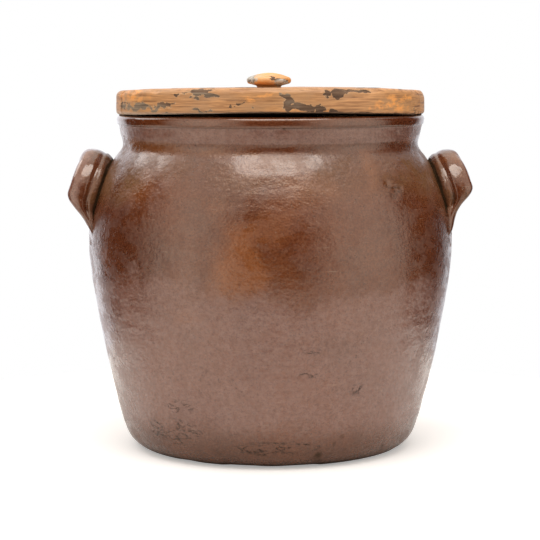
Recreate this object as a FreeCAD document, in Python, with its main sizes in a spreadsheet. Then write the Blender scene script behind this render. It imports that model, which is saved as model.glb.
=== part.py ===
import FreeCAD, Part
import math
import os
import Sketcher

# A stoneware fermenting crock: a thrown pot with two luted lug handles, a round lid of three boards
# held by two battens, a turned knob, and two half-moon weights on the floor of the pot.
#
# Frame: millimetres, +Z up, origin on the pot's axis at the plane that it stands on.
# The handles lie along X, and -Y is the front.

V = FreeCAD.Vector
LINE = None
ORIGIN = (-1, 1)  # a sketch's own origin, as constraints name it

DIMENSIONS = [
    ("foot_corner", 22.0, "rounding between the underside and the wall"),
    ("wall_arc", 1100.0, "gentle curve of the lower wall"),
    ("wall_top", 152.0, "height where the lower wall passes into the belly"),
    ("belly_radius", 164.9, "widest part of the pot"),
    ("belly_height", 186.0, "height of the widest part"),
    ("belly_arc", 230.0, "curve of the belly below its widest part"),
    ("shoulder_arc", 130.0, "curve of the shoulder"),
    ("neck_radius", 133.0, "narrowest part of the neck"),
    ("neck_fillet", 5.5, "hollow of the neck"),
    ("step_radius", 137.6, "top of the flare, under the rim band"),
    ("step_height", 291.5, "height of the rim band's lower edge"),
    ("rim_radius", 138.4, "outside of the rim band"),
    ("rim_height", 300.0, "top of the rim"),
    ("rim_width", 12.4, "thickness of the rim"),
    ("rim_round", 4.0, "rounding of the rim's two edges"),
    ("wall_thickness", 9.0, "thrown wall"),
    ("floor_thickness", 14.0, "floor of the pot"),
    ("floor_corner", 20.0, "rounding between the floor and the inner wall"),
    ("handle_lean", 17.5, "tilt of the handle's arch, degrees"),
    ("handle_foot_x", 152.0, "point of the shoulder that a handle is set out from"),
    ("handle_foot_z", 240.0, "height of that point"),
    ("handle_arch", 35.0, "centre line radius of the handle's arch"),
    ("handle_drop", 18.0, "arch centre below the set-out point"),
    ("handle_thick", 14.0, "thickness of the strap along the arch's radius"),
    ("handle_reach", 24.6, "how far the strap stands out"),
    ("handle_root", 18.0, "how far the strap is carried in towards the pot"),
    ("handle_leg", 36.0, "straight leg below the arch"),
    ("handle_edge", 5.0, "rounding of the strap's outer edges"),
    ("tail_left", 4.0, "arch centre up to where the left handle's tails turn in"),
    ("tail_right", 10.0, "the same on the right handle"),
    ("tail_slope", 25.0, "height that a tail takes to reach the wall"),
    ("tail_arc", 50.0, "curve of a tail as it turns in"),
    ("lid_radius", 139.5, "round lid"),
    ("lid_shift", -0.7, "the lid sits a little to the left"),
    ("lid_thick", 22.0, "thickness of the boards"),
    ("lid_cup", 4335.0, "cupping radius of the lid's underside"),
    ("lid_contact", 42.0, "line, behind the axis, where the cupped lid touches the rim"),
    ("lid_top_round", 5.0, "rounding of the lid's top edge"),
    ("lid_low_round", 3.0, "rounding of the lid's lower edge"),
    ("board_joint", 46.0, "board joints from the axis"),
    ("board_gap", 0.6, "dried-out gap between two boards"),
    ("batten_offset", 60.0, "battens from the axis"),
    ("batten_width", 30.0, "width of a batten"),
    ("batten_thick", 16.0, "thickness of a batten"),
    ("batten_half", 88.0, "half length of a batten"),
    ("screw_span", 138.0, "first to last screw of a batten"),
    ("screw_shank", 2.0, "batten screw shank radius"),
    ("screw_head", 4.0, "batten screw head radius"),
    ("screw_head_low", 286.4, "underside of the screw heads"),
    ("screw_seat", 289.0, "counterbore floor that the heads bear on"),
    ("screw_tip", 314.0, "points of the batten screws"),
    ("screw_play", 0.25, "radial play round a screw"),
    ("knob_shift", -1.3, "the knob sits a little to the left of the lid's middle"),
    ("knob_seat", 321.2, "flat recess that the knob stands in"),
    ("knob_neck", 11.0, "radius of the knob's neck"),
    ("knob_neck_top", 325.7, "top of the neck"),
    ("knob_under", 17.6, "radius where the knob's underside turns up"),
    ("knob_under_z", 327.5, "height of that turn"),
    ("knob_edge", 3.1, "rounding of the knob's edge"),
    ("knob_shoulder", 17.2, "radius where the edge passes into the domed top"),
    ("knob_shoulder_z", 333.6, "height of that place"),
    ("knob_top", 337.2, "top of the knob"),
    ("bolt_shank", 2.5, "knob screw shank radius"),
    ("bolt_head", 5.0, "knob screw head radius"),
    ("bolt_head_height", 2.6, "knob screw head"),
    ("bolt_tip", 332.0, "point of the knob screw"),
    ("washer_radius", 9.0, "knob washer"),
    ("washer_thick", 1.4, "thickness of the washer"),
    ("washer_seat", 305.0, "counterbore floor that the washer bears on"),
    ("washer_room", 9.6, "radius of that counterbore"),
    ("weight_radius", 112.0, "the two weights together"),
    ("weight_gap", 3.0, "gap between the two weights"),
    ("weight_thick", 24.0, "thickness of a weight"),
    ("weight_notch", 19.0, "finger notch in the straight side"),
    ("weight_round", 4.0, "rounding of a weight's edges"),
]

doc = FreeCAD.newDocument("crock")
sheet = doc.addObject("Spreadsheet::Sheet", "dims")
for row, (alias, value, note) in enumerate(DIMENSIONS, start=1):
    sheet.set(f"A{row}", note)
    sheet.set(f"B{row}", str(value))
    sheet.setAlias(f"B{row}", alias)
doc.recompute()


def size(formula):
    """The value of a formula in the sheet's names, such as 'rim_radius - rim_width'."""
    return float(sheet.evalExpression(formula))


def bound(formula):
    """The same formula as other objects write it."""
    words = [word for word, _, _ in DIMENSIONS]
    out = []
    token = ""
    for letter in formula + " ":
        if letter.isalnum() or letter == "_":
            token += letter
            continue
        out.append(f"dims.{token}" if token in words else token)
        out.append(letter)
        token = ""
    return "".join(out).strip()


def new_body(name):
    return doc.addObject("PartDesign::Body", name)


def new_sketch(body, name, plane, height=None):
    """A sketch on one of the body's own origin planes, raised by a formula where one is given."""
    sketch = body.newObject("Sketcher::SketchObject", name)
    base = next(o for o in body.Origin.OriginFeatures if o.Role == plane)
    sketch.AttachmentSupport = [(base, "")]
    sketch.MapMode = "FlatFace"
    if height:
        sketch.setExpression(".AttachmentOffset.Base.z", bound(height))
    doc.recompute()
    return sketch


def arc_between(first, last, radius, turn):
    """An arc of under half a circle from first to last; turn 1 is anticlockwise, -1 clockwise."""
    chord = last - first
    middle = (first + last) * 0.5
    rise = math.sqrt(max(radius**2 - (chord.Length / 2) ** 2, 0.0))
    side = V(-chord.y, chord.x, 0).normalize() * (rise * turn)
    centre = middle + side
    ends = (first, last) if turn > 0 else (last, first)
    angles = [math.atan2(p.y - centre.y, p.x - centre.x) for p in ends]
    return Part.ArcOfCircle(Part.Circle(centre, V(0, 0, 1), radius), angles[0], angles[1])


def outline(sketch, corners, edges, smooth=(), upright=(), loose=()):
    """Draw a closed outline and tie it to the sheet.

    corners: (x, y), each a formula that ties it, or a number that the solver starts from
    edges:   from each corner to the next, LINE or (radius formula, turn)
    smooth:  corners where the two edges are tangent
    upright: edges that are vertical
    loose:   arcs whose radius follows from what they touch
    """
    points = [V(start_value(x), start_value(y), 0) for x, y in corners]
    start, end = [], []
    for number, edge in enumerate(edges):
        first, last = points[number], points[(number + 1) % len(points)]
        if edge is LINE:
            sketch.addGeometry(Part.LineSegment(first, last))
        else:
            sketch.addGeometry(arc_between(first, last, size(edge[0]), edge[1]))
        forward = edge is LINE or edge[1] > 0
        start.append(1 if forward else 2)
        end.append(2 if forward else 1)
    for number in range(len(edges)):
        before = (number - 1) % len(edges)
        kind = "Tangent" if number in smooth else "Coincident"
        sketch.addConstraint(Sketcher.Constraint(kind, before, end[before], number, start[number]))
    for number, edge in enumerate(edges):
        if edge is not LINE and number not in loose:
            tie(sketch, "Radius", edge[0], number)
    for number in upright:
        sketch.addConstraint(Sketcher.Constraint("Vertical", number))
    for number, corner in enumerate(corners):
        tie_point(sketch, corner, number, start[number])


def start_value(place):
    return size(place) if isinstance(place, str) else place


def tie(sketch, kind, formula, *places):
    """A dimension of the sketch, bound to a formula of the sheet."""
    index = sketch.addConstraint(Sketcher.Constraint(kind, *places, size(formula)))
    sketch.setExpression(f"Constraints[{index}]", bound(formula))


def tie_point(sketch, place, *point):
    """Tie a point's x and y to the sheet, where they are formulas and not starting numbers."""
    for kind, value in zip(("DistanceX", "DistanceY"), place):
        if isinstance(value, str):
            tie(sketch, kind, value, *ORIGIN, *point)


def tie_centre(sketch, arc, x=None, y=None):
    """Tie the centre of an arc or circle."""
    tie_point(sketch, (x, y), arc, 3)


def circle(sketch, x, y, radius):
    """A circle whose centre and radius are formulas of the sheet."""
    centre = V(size(x), size(y), 0)
    number = sketch.addGeometry(Part.Circle(centre, V(0, 0, 1), size(radius)))
    tie(sketch, "Radius", radius, number)
    tie_centre(sketch, number, x, y)


def revolve(body, sketch):
    turned = body.newObject("PartDesign::Revolution", body.Name + "_turned")
    turned.Profile = sketch
    turned.ReferenceAxis = (sketch, ["V_Axis"])
    turned.Angle = 360
    doc.recompute()
    return turned


def pad(body, sketch, length, both_ways=False):
    raised = body.newObject("PartDesign::Pad", sketch.Name + "_pad")
    raised.Profile = sketch
    raised.SideType = "Symmetric" if both_ways else "One side"
    raised.setExpression("Length", bound(length))
    doc.recompute()
    return raised


def pocket(body, sketch, length, both_ways=False, upwards=False):
    """Cut the sketch out, downwards from its plane unless told otherwise."""
    before = body.Shape.Volume
    cut = body.newObject("PartDesign::Pocket", sketch.Name + "_cut")
    cut.Profile = sketch
    cut.SideType = "Symmetric" if both_ways else "One side"
    cut.Reversed = upwards
    cut.setExpression("Length", bound(length))
    doc.recompute()
    if body.Shape.Volume > before - 1.0:
        raise RuntimeError(f"{cut.Name} cuts nothing")
    return cut


def fillet(body, base, edges, radius):
    rounded = body.newObject("PartDesign::Fillet", base.Name + "_round")
    rounded.Base = (base, edges)
    rounded.setExpression("Radius", bound(radius))
    doc.recompute()
    return rounded


def cut(label, base, tool):
    """base less tool, as one of the object's pieces."""
    result = doc.addObject("Part::Cut", label)
    result.Base = base
    result.Tool = tool
    doc.recompute()
    return result


# The pot: a solid form with the outer profile, less a solid form of the cavity.

def pot_form():
    body = new_body("pot_form")
    sketch = new_sketch(body, "pot_profile", "XZ_Plane")
    corners = [
        ("0", "0"),
        (112, "0"),
        (133, 15),
        (162, "wall_top"),
        ("belly_radius", "belly_height"),
        (134, 270),
        (133, 275),
        ("step_radius", "step_height"),
        ("rim_radius", "rim_height - rim_round"),
        ("rim_radius - rim_round", "rim_height"),
        ("0", "rim_height"),
    ]
    edges = [
        LINE,
        ("foot_corner", 1),
        ("wall_arc", 1),
        ("belly_arc", 1),
        ("shoulder_arc", 1),
        ("neck_fillet", -1),
        LINE,
        LINE,
        ("rim_round", 1),
        LINE,
        LINE,
    ]
    outline(sketch, corners, edges, smooth=(1, 2, 3, 4, 5, 6))
    belly, neck = 3, 5
    tie_centre(sketch, belly, y="belly_height")
    tie_centre(sketch, neck, x="neck_radius + neck_fillet")
    revolve(body, sketch)
    return body


def pot_cavity():
    body = new_body("pot_cavity")
    sketch = new_sketch(body, "cavity_profile", "XZ_Plane")
    wall_top = "belly_height - (belly_height - wall_top) * (1 - wall_thickness / belly_arc)"
    rim_inside = "rim_radius - rim_width"
    above = "rim_height + 5"
    corners = [
        ("0", "floor_thickness"),
        (109, "floor_thickness"),
        (127, 28),
        (153, wall_top),
        ("belly_radius - wall_thickness", "belly_height"),
        (127, 264),
        (124, 275),
        (rim_inside, "rim_height - rim_round"),
        (f"{rim_inside} + rim_round", "rim_height"),
        (f"{rim_inside} + rim_round", above),
        ("0", above),
    ]
    edges = [
        LINE,
        ("floor_corner", 1),
        ("wall_arc - wall_thickness", 1),
        ("belly_arc - wall_thickness", 1),
        ("shoulder_arc - wall_thickness", 1),
        ("neck_fillet + wall_thickness", -1),
        LINE,
        ("rim_round", -1),
        LINE,
        LINE,
        LINE,
    ]
    outline(sketch, corners, edges, smooth=(1, 2, 3, 4, 5, 6))
    belly, neck = 3, 5
    tie_centre(sketch, belly, y="belly_height")
    tie_centre(sketch, neck, x="neck_radius + neck_fillet")
    revolve(body, sketch)
    return body


# The handles: an arched strap that leans out with the shoulder, less the pot's form.

def handle(label, tail, form, half_turn):
    """One lug handle. In the body's frame X runs along the arch, Y up the slope and Z outwards."""
    body = new_body(label + "_strap")
    arch = new_sketch(body, label + "_arch", "XY_Plane", "-handle_root")
    outer = "handle_arch + handle_thick / 2"
    inner = "handle_arch - handle_thick / 2"
    low = "-handle_drop - handle_leg"
    corners = [
        (outer, low),
        (42, -18),
        (-42, -18),
        (f"-({outer})", low),
        (f"-({inner})", low),
        (-28, -18),
        (28, -18),
        (inner, low),
    ]
    edges = [LINE, (outer, 1), LINE, LINE, LINE, (inner, -1), LINE, LINE]
    arcs = (1, 5)
    outline(arch, corners, edges, smooth=(1, 2, 5, 6), upright=(0, 2, 4, 6), loose=arcs)
    for arc in arcs:
        tie_centre(arch, arc, y="-handle_drop")
    strap = pad(body, arch, "handle_root + handle_reach")
    face = size("handle_reach")
    long_edges = [f"Edge{n}" for n, e in enumerate(strap.Shape.Edges, 1)
                  if all(abs(v.Z - face) < 0.01 for v in e.Vertexes) and e.Length > 20]
    fillet(body, strap, long_edges, "handle_edge")

    tails = new_sketch(body, label + "_tails", "YZ_Plane")
    turn_in = f"-handle_drop + {tail}"
    foot = f"-handle_drop + {tail} - tail_slope"
    below = "-handle_drop - handle_leg - 10"
    corners = [
        (turn_in, "handle_reach"),
        (turn_in, "handle_reach + 10"),
        (below, "handle_reach + 10"),
        (below, "-handle_root - 2"),
        (f"{foot} - handle_root / 2", "-handle_root - 2"),
        (foot, "0"),
    ]
    outline(tails, corners, [LINE, LINE, LINE, LINE, LINE, ("tail_arc", -1)])
    pocket(body, tails, "4 * handle_arch", both_ways=True)
    body.Placement = handle_place(half_turn)
    doc.recompute()
    return cut(label, body, form)


def handle_place(half_turn):
    """Where a handle's own frame lies: set out on the shoulder, leaning back by handle_lean."""
    lean = math.radians(size("handle_lean"))
    outwards = V(math.cos(lean), 0, math.sin(lean))
    up_slope = V(-math.sin(lean), 0, math.cos(lean))
    along = V(0, 1, 0)
    place = FreeCAD.Placement(
        V(size("handle_foot_x"), 0, size("handle_foot_z")),
        FreeCAD.Rotation(along, up_slope, outwards, "ZXY"),
    )
    if half_turn:
        place = FreeCAD.Placement(V(), FreeCAD.Rotation(V(0, 0, 1), 180)) * place
    return place


# The lid: three boards across one cupped disc, so every board's faces share the same two arcs.

def cupped_section(sketch, near, far, low, thick):
    """A section from near to far across the cup. low is the radius of its lower face."""
    high = f"{low} - {thick}"

    def cup_point(place, radius):
        away = size(place) - size("lid_contact")
        return place, size("rim_height + lid_cup") - math.sqrt(size(radius) ** 2 - away**2)

    corners = [cup_point(near, low), cup_point(far, low), cup_point(far, high), cup_point(near, high)]
    outline(sketch, corners, [(low, 1), LINE, (high, -1), LINE])
    for arc in (0, 2):
        tie_centre(sketch, arc, "lid_contact", "rim_height + lid_cup")


def lid_board(label, near, far):
    """One board: the cupped section drawn out along X, then sawn round."""
    body = new_body(label)
    section = new_sketch(body, label + "_section", "YZ_Plane")
    cupped_section(section, near, far, "lid_cup", "lid_thick")
    pad(body, section, "2.2 * lid_radius", both_ways=True)
    sawn = new_sketch(body, label + "_round", "XY_Plane")
    circle(sawn, "lid_shift", "0", "lid_radius")
    circle(sawn, "lid_shift", "0", "2 * lid_radius")
    pocket(body, sawn, "4 * rim_height", both_ways=True)
    return body


def round_rim(body):
    """Round the sawn edge of a board, more at its top than at its underside."""
    middle = V(size("lid_shift"), 0, 0)
    radius = size("lid_radius")
    halfway = size("rim_height + lid_thick / 2")
    for above, rounding in ((True, "lid_top_round"), (False, "lid_low_round")):
        tip = body.Tip
        names = []
        for number, edge in enumerate(tip.Shape.Edges, 1):
            ends = [v.Point for v in edge.Vertexes]
            ends.append(edge.valueAt((edge.FirstParameter + edge.LastParameter) / 2))
            on_rim = all(abs(math.hypot(p.x - middle.x, p.y) - radius) < 0.01 for p in ends)
            flat = max(p.z for p in ends) - min(p.z for p in ends) < 8
            if on_rim and flat and (ends[0].z > halfway) == above:
                names.append(f"Edge{number}")
        fillet(body, tip, names, rounding)


def screw_holes(body, name, places, radius, from_z, depth):
    """Round holes upwards from a level."""
    holes = new_sketch(body, name, "XY_Plane", from_z)
    for x, y in places:
        circle(holes, x, y, radius)
    pocket(body, holes, depth, upwards=True)


SCREW_ROWS = ["-screw_span / 2", "-screw_span / 6", "screw_span / 6", "screw_span / 2"]


def batten_screw_places(rows):
    return [(side, row) for side in ("-batten_offset", "batten_offset") for row in rows]


def lid_boards():
    inner = "board_joint - board_gap / 2"
    outer = "board_joint + board_gap / 2"
    edge = "lid_radius + 1"
    spans = {
        "lid_board_front": (f"-({edge})", f"-({outer})", SCREW_ROWS[:1]),
        "lid_board_middle": (f"-({inner})", inner, SCREW_ROWS[1:3]),
        "lid_board_back": (outer, edge, SCREW_ROWS[3:]),
    }
    boards = {}
    for label, (near, far, rows) in spans.items():
        body = lid_board(label, near, far)
        round_rim(body)
        pilot = "screw_shank + screw_play"
        screw_holes(body, label + "_pilots", batten_screw_places(rows), pilot,
                    "rim_height - 2", "screw_tip - rim_height + 3")
        boards[label] = body
    middle = boards["lid_board_middle"]
    at_knob = [("knob_shift", "0")]
    screw_holes(middle, "knob_hole", at_knob, "bolt_shank + screw_play",
                "rim_height - 2", "lid_thick + 10")
    screw_holes(middle, "washer_bore", at_knob, "washer_room",
                "rim_height - 2", "washer_seat - rim_height + 2")
    screw_holes(middle, "knob_recess", at_knob, "knob_neck + screw_play",
                "knob_seat", "10")
    return boards


def batten(label, side):
    body = new_body(label)
    section = new_sketch(body, label + "_section", "YZ_Plane")
    cupped_section(section, "-batten_half", "batten_half", "lid_cup + batten_thick", "batten_thick")
    pad(body, section, "batten_width", both_ways=True)
    own = [("0", row) for row in SCREW_ROWS]
    screw_holes(body, label + "_bores", own, "screw_head + screw_play",
                "rim_height - 2 * batten_thick", "screw_seat - rim_height + 2 * batten_thick")
    screw_holes(body, label + "_holes", own, "screw_shank + screw_play",
                "rim_height - 2 * batten_thick", "3 * batten_thick")
    body.setExpression(".Placement.Base.x", bound(f"{side} * batten_offset"))
    doc.recompute()
    return body


# Fasteners.

def turned_piece(label, steps):
    """A turned body from (radius, height) formulas, up from its lower end on the axis."""
    body = new_body(label)
    sketch = new_sketch(body, label + "_profile", "XZ_Plane")
    outline(sketch, steps, [LINE] * len(steps))
    revolve(body, sketch)
    return body


def batten_screws(label, side):
    """Four pan head screws, in line under one batten."""
    point = "screw_tip - 2 * screw_shank"
    body = turned_piece(label, [
        ("0", "screw_head_low"),
        ("screw_head", "screw_head_low"),
        ("screw_head", "screw_seat"),
        ("screw_shank", "screw_seat"),
        ("screw_shank", point),
        ("0", "screw_tip"),
    ])
    body.AllowCompound = True
    row = body.newObject("PartDesign::LinearPattern", label + "_row")
    row.Originals = [body.Tip]
    row.Direction = (next(o for o in body.Origin.OriginFeatures if o.Role == "Y_Axis"), [""])
    row.Occurrences = len(SCREW_ROWS)
    row.setExpression("Length", bound("screw_span"))
    body.Tip = row
    body.setExpression(".Placement.Base.x", bound(f"{side} * batten_offset"))
    body.setExpression(".Placement.Base.y", bound("-screw_span / 2"))
    doc.recompute()
    return body


def knob():
    body = new_body("knob")
    sketch = new_sketch(body, "knob_profile", "XZ_Plane")
    bore = "bolt_shank + screw_play"
    bore_top = "bolt_tip + 1"
    corners = [
        (bore, "knob_seat"),
        ("knob_neck", "knob_seat"),
        ("knob_neck", "knob_neck_top"),
        ("knob_under", "knob_under_z"),
        ("knob_shoulder", "knob_shoulder_z"),
        ("0", "knob_top"),
        ("0", bore_top),
        (bore, bore_top),
    ]
    dome = 4
    edges = [LINE, LINE, LINE, ("knob_edge", 1), ("2 * knob_shoulder", 1), LINE, LINE, LINE]
    outline(sketch, corners, edges, loose=(dome,))
    tie_centre(sketch, dome, x="0")
    revolve(body, sketch)
    body.setExpression(".Placement.Base.x", bound("knob_shift"))
    return body


def knob_screw():
    head = "washer_seat - washer_thick"
    body = turned_piece("knob_screw", [
        ("0", f"{head} - bolt_head_height"),
        ("bolt_head", f"{head} - bolt_head_height"),
        ("bolt_head", head),
        ("bolt_shank", head),
        ("bolt_shank", "bolt_tip - 2 * bolt_shank"),
        ("0", "bolt_tip"),
    ])
    body.setExpression(".Placement.Base.x", bound("knob_shift"))
    return body


def knob_washer():
    body = turned_piece("knob_washer", [
        ("bolt_shank + screw_play", "washer_seat - washer_thick"),
        ("washer_radius", "washer_seat - washer_thick"),
        ("washer_radius", "washer_seat"),
        ("bolt_shank + screw_play", "washer_seat"),
    ])
    body.setExpression(".Placement.Base.x", bound("knob_shift"))
    return body


# The weights: two halves of a thick disc, each with a finger notch in its straight side.

def weight(label, half_turn):
    body = new_body(label)
    sketch = new_sketch(body, label + "_outline", "XY_Plane", "floor_thickness")
    straight = "weight_gap / 2"
    reach = size("weight_radius")
    corners = [
        (size(straight), -reach),
        (reach, "0"),
        (straight, reach),
        (straight, "weight_notch"),
        (f"{straight} + weight_notch", "0"),
        (straight, "-weight_notch"),
    ]
    notch = ("weight_notch", -1)
    edges = [("weight_radius", 1), ("weight_radius", 1), LINE, notch, notch, LINE]
    outline(sketch, corners, edges, loose=(1,))
    for arc in (0, 1):
        tie_centre(sketch, arc, "0", "0")
    slab = pad(body, sketch, "weight_thick")
    fillet(body, slab, [f"Edge{n}" for n in range(1, len(slab.Shape.Edges) + 1)], "weight_round")
    if half_turn:
        body.Placement = FreeCAD.Placement(V(), FreeCAD.Rotation(V(0, 0, 1), 180))
    doc.recompute()
    return body


def main():
    form = pot_form()
    pieces = {"crock_pot": cut("crock_pot", form, pot_cavity())}
    pieces["handle_left"] = handle("handle_left", "tail_left", form, half_turn=True)
    pieces["handle_right"] = handle("handle_right", "tail_right", form, half_turn=False)
    pieces.update(lid_boards())
    for name, side in (("left", -1), ("right", 1)):
        pieces[f"lid_batten_{name}"] = batten(f"lid_batten_{name}", side)
        pieces[f"batten_screws_{name}"] = batten_screws(f"batten_screws_{name}", side)
        pieces[f"weight_{name}"] = weight(f"weight_{name}", half_turn=side < 0)
    pieces["knob"] = knob()
    pieces["knob_screw"] = knob_screw()
    pieces["knob_washer"] = knob_washer()
    doc.recompute()

    failed = [o.Name for o in doc.Objects if "Invalid" in o.State or "Error" in o.State]
    if failed:
        raise RuntimeError(f"failed objects: {failed}")
    for label, piece in pieces.items():
        if piece.Shape.isNull() or not piece.Shape.isValid():
            raise RuntimeError(f"{label} has no valid shape")
    os.makedirs("parts", exist_ok=True)
    for label, piece in pieces.items():
        piece.Label = label
        piece.Shape.exportStep(f"parts/{label}.step")
        print(f"{label}: {len(piece.Shape.Solids)} solid(s), {piece.Shape.Volume / 1000:.1f} cm3")


main()
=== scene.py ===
"""The looks of the salt-glazed crock, its handles, painted board lid and weights.

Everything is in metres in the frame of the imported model: +Z up, the handles along X and the
front towards -Y. Azimuths are measured from the front, positive towards +X.
"""
import itertools
import math

import bmesh
import bpy
import numpy as np
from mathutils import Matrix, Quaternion, Vector
from mathutils.bvhtree import BVHTree


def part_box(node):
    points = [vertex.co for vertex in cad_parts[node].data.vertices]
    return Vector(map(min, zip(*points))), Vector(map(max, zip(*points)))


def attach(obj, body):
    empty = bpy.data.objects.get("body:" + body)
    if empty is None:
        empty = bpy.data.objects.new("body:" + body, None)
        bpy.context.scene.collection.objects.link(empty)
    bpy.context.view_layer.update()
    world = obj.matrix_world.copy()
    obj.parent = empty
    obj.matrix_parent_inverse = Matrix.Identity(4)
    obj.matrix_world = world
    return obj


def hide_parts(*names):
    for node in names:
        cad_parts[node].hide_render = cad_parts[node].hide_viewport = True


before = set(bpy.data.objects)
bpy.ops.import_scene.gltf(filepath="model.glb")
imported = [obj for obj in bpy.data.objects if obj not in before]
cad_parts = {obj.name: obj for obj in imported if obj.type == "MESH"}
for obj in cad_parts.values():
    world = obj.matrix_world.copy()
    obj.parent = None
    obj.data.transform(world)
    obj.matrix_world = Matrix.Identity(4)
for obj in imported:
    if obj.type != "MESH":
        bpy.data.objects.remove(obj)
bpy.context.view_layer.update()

MM = 0.001
HASH = (73856093, 19349663, 83492791, 1274126177, 668265263)     # odd numbers to scatter cells with
WORD = 0xFFFFFFFF              # the largest number of 32 bits


# ---------------- numbers on points

def lattice(cells, seed):
    """A fixed value from -1 to 1 for each whole-number cell."""
    mixed = cells[:, 0] * HASH[0] ^ cells[:, 1] * HASH[1] ^ cells[:, 2] * HASH[2] ^ seed * HASH[0]
    mixed = mixed & WORD
    mixed = (mixed ^ mixed >> 15) * HASH[3] & WORD
    mixed = (mixed ^ mixed >> 13) * HASH[4] & WORD
    return (mixed ^ mixed >> 16) / (WORD / 2) - 1


def noise(points, size, seed):
    """Smooth noise from -1 to 1, its bumps about size across: one length, or one for each axis."""
    places = points / np.asarray(size, float)
    cells = np.floor(places).astype(np.int64)
    share = places - cells
    share = share ** 3 * (share * (share * 6 - 15) + 10)
    total = np.zeros(len(points))
    for corner in itertools.product((0, 1), repeat=3):
        weight = np.where(np.array(corner, bool), share, 1 - share).prod(axis=1)
        total += weight * lattice(cells + np.array(corner), seed)
    return total


def rough_noise(points, size, seed, octaves=3):
    """Noise with finer and weaker noise on top of it."""
    return sum(noise(points, np.asarray(size) / 2 ** k, seed + k) / 2 ** k for k in range(octaves))


def ramp(values, low, high):
    """0 below low, 1 above high and smooth between them; low may be the larger one."""
    share = np.clip((values - low) / (high - low), 0, 1)
    return share * share * (3 - 2 * share)


def spot(points, centre, radius):
    """1 at the centre, falling smoothly to 0 at radius: one length, or one for each axis."""
    away = (((points - np.asarray(centre)) / np.asarray(radius)) ** 2).sum(axis=1)
    return np.clip(1 - away, 0, 1) ** 2


def around(points):
    """Each point's azimuth from the front in degrees, positive towards +X."""
    return np.degrees(np.arctan2(points[:, 0], -points[:, 1]))


def patch(azimuth, height, centre, half_sizes):
    """1 in the middle of a patch given by its azimuth and height, falling to 0 at its edge."""
    aside = (azimuth - centre[0] + 180) % 360 - 180
    away = (aside / half_sizes[0]) ** 2 + ((height - centre[1]) / half_sizes[1]) ** 2
    return np.clip(1 - away, 0, 1)


# ---------------- meshes

def points_of(mesh):
    """Where the mesh's points are, one row each."""
    found = np.zeros(len(mesh.vertices) * 3)
    mesh.vertices.foreach_get("co", found)
    return found.reshape(-1, 3)


def normals_of(mesh):
    """Which way the surface faces at each of the mesh's points."""
    found = np.zeros(len(mesh.vertices) * 3)
    mesh.vertex_normals.foreach_get("vector", found)
    return found.reshape(-1, 3)


def move_points(mesh, points):
    """Puts the mesh's points at new places."""
    mesh.vertices.foreach_set("co", np.ascontiguousarray(points, np.float32).ravel())
    mesh.update()


def paint(mesh, **zones):
    """Keeps named values from 0 to 1 on each point for the mesh's material to read."""
    for name, values in zones.items():
        layer = mesh.attributes.new(name, "FLOAT", "POINT")
        layer.data.foreach_set("value", np.clip(values, 0, 1).astype(np.float32))


def new_piece(name, mesh, body, nodes, finish):
    """Shows a mesh as a piece that stands for CAD nodes and moves with their body."""
    mesh.polygons.foreach_set("use_smooth", np.ones(len(mesh.polygons), bool))
    mesh.materials.clear()
    mesh.materials.append(finish)
    piece = bpy.data.objects.new(name, mesh)
    bpy.context.scene.collection.objects.link(piece)
    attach(piece, body)
    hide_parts(*nodes)
    return piece


def even_mesh(node, voxel):
    """A finely and evenly divided copy of a CAD node's closed mesh."""
    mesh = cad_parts[node].data.copy()
    form = bmesh.new()
    form.from_mesh(mesh)
    bmesh.ops.remove_doubles(form, verts=form.verts, dist=0.001 * MM)
    form.to_mesh(mesh)
    form.free()
    source = bpy.data.objects.new(node + "_source", mesh)
    bpy.context.scene.collection.objects.link(source)
    remesh = source.modifiers.new("even", "REMESH")
    remesh.mode = "VOXEL"
    remesh.voxel_size = voxel
    finished = source.evaluated_get(bpy.context.evaluated_depsgraph_get())
    made = bpy.data.meshes.new_from_object(finished)
    bpy.data.objects.remove(source)
    for attribute in [a.name for a in made.attributes if not a.is_required]:
        if made.attributes[attribute].domain == "CORNER":
            made.attributes.remove(made.attributes[attribute])
    return made


def tree_of(node):
    """A search tree of a CAD node's surface, for casting rays at it."""
    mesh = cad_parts[node].data
    mesh.calc_loop_triangles()
    faces = [tuple(t.vertices) for t in mesh.loop_triangles]
    return BVHTree.FromPolygons([v.co.copy() for v in mesh.vertices], faces)


# ---------------- the crock

ROWS = {"outside": 2.1 * MM, "rim": 1.1 * MM, "inside": 7 * MM, "base": 7 * MM}     # rings' spacing
COLUMNS = 380                  # points round each ring
RAYS = 3600                    # rays that read the outline
EYE = Vector((0, 0, 0.15))     # on the pot's axis, inside it, where the outline's rays start
WALL_RADIUS = 0.16             # the belly's, for turning a width on it into degrees
NECK = 0.2735                  # height of the narrowest part, above the shoulder
LEDGE = 0.2920                 # height of the ledge under the rim band
SMALL_PITS = 300
PITS = [  # azimuth, height, radius and depth in millimetres: the pits that the photograph shows
    (41, 0.2440, 4.2, 1.2), (43.5, 0.2385, 4.4, 1.4), (41.5, 0.2330, 3.4, 1.0),
    (46, 0.2400, 3.4, 1.0), (54, 0.2855, 3.2, 1.0), (10.7, 0.1735, 2.8, 0.5),
    (-5.9, 0.1100, 2.6, 0.5), (10.0, 0.0850, 3.0, 0.4), (12.0, 0.0840, 2.6, 0.4),
    (5.0, 0.2905, 2.8, 0.8), (-24, 0.2650, 2.6, 0.4), (24, 0.1180, 2.4, 0.4),
    (-37, 0.1450, 2.6, 0.4),
]
EMBERS = [  # scorched patches: azimuth, height, half width in degrees, half height, strength
    (-9, 0.178, 11, 0.034, 1.0), (-2, 0.176, 17, 0.036, 0.35), (-27, 0.133, 10, 0.012, 0.5),
    (-46, 0.242, 11, 0.020, 0.6), (38, 0.258, 6, 0.022, 0.45),
]
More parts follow.
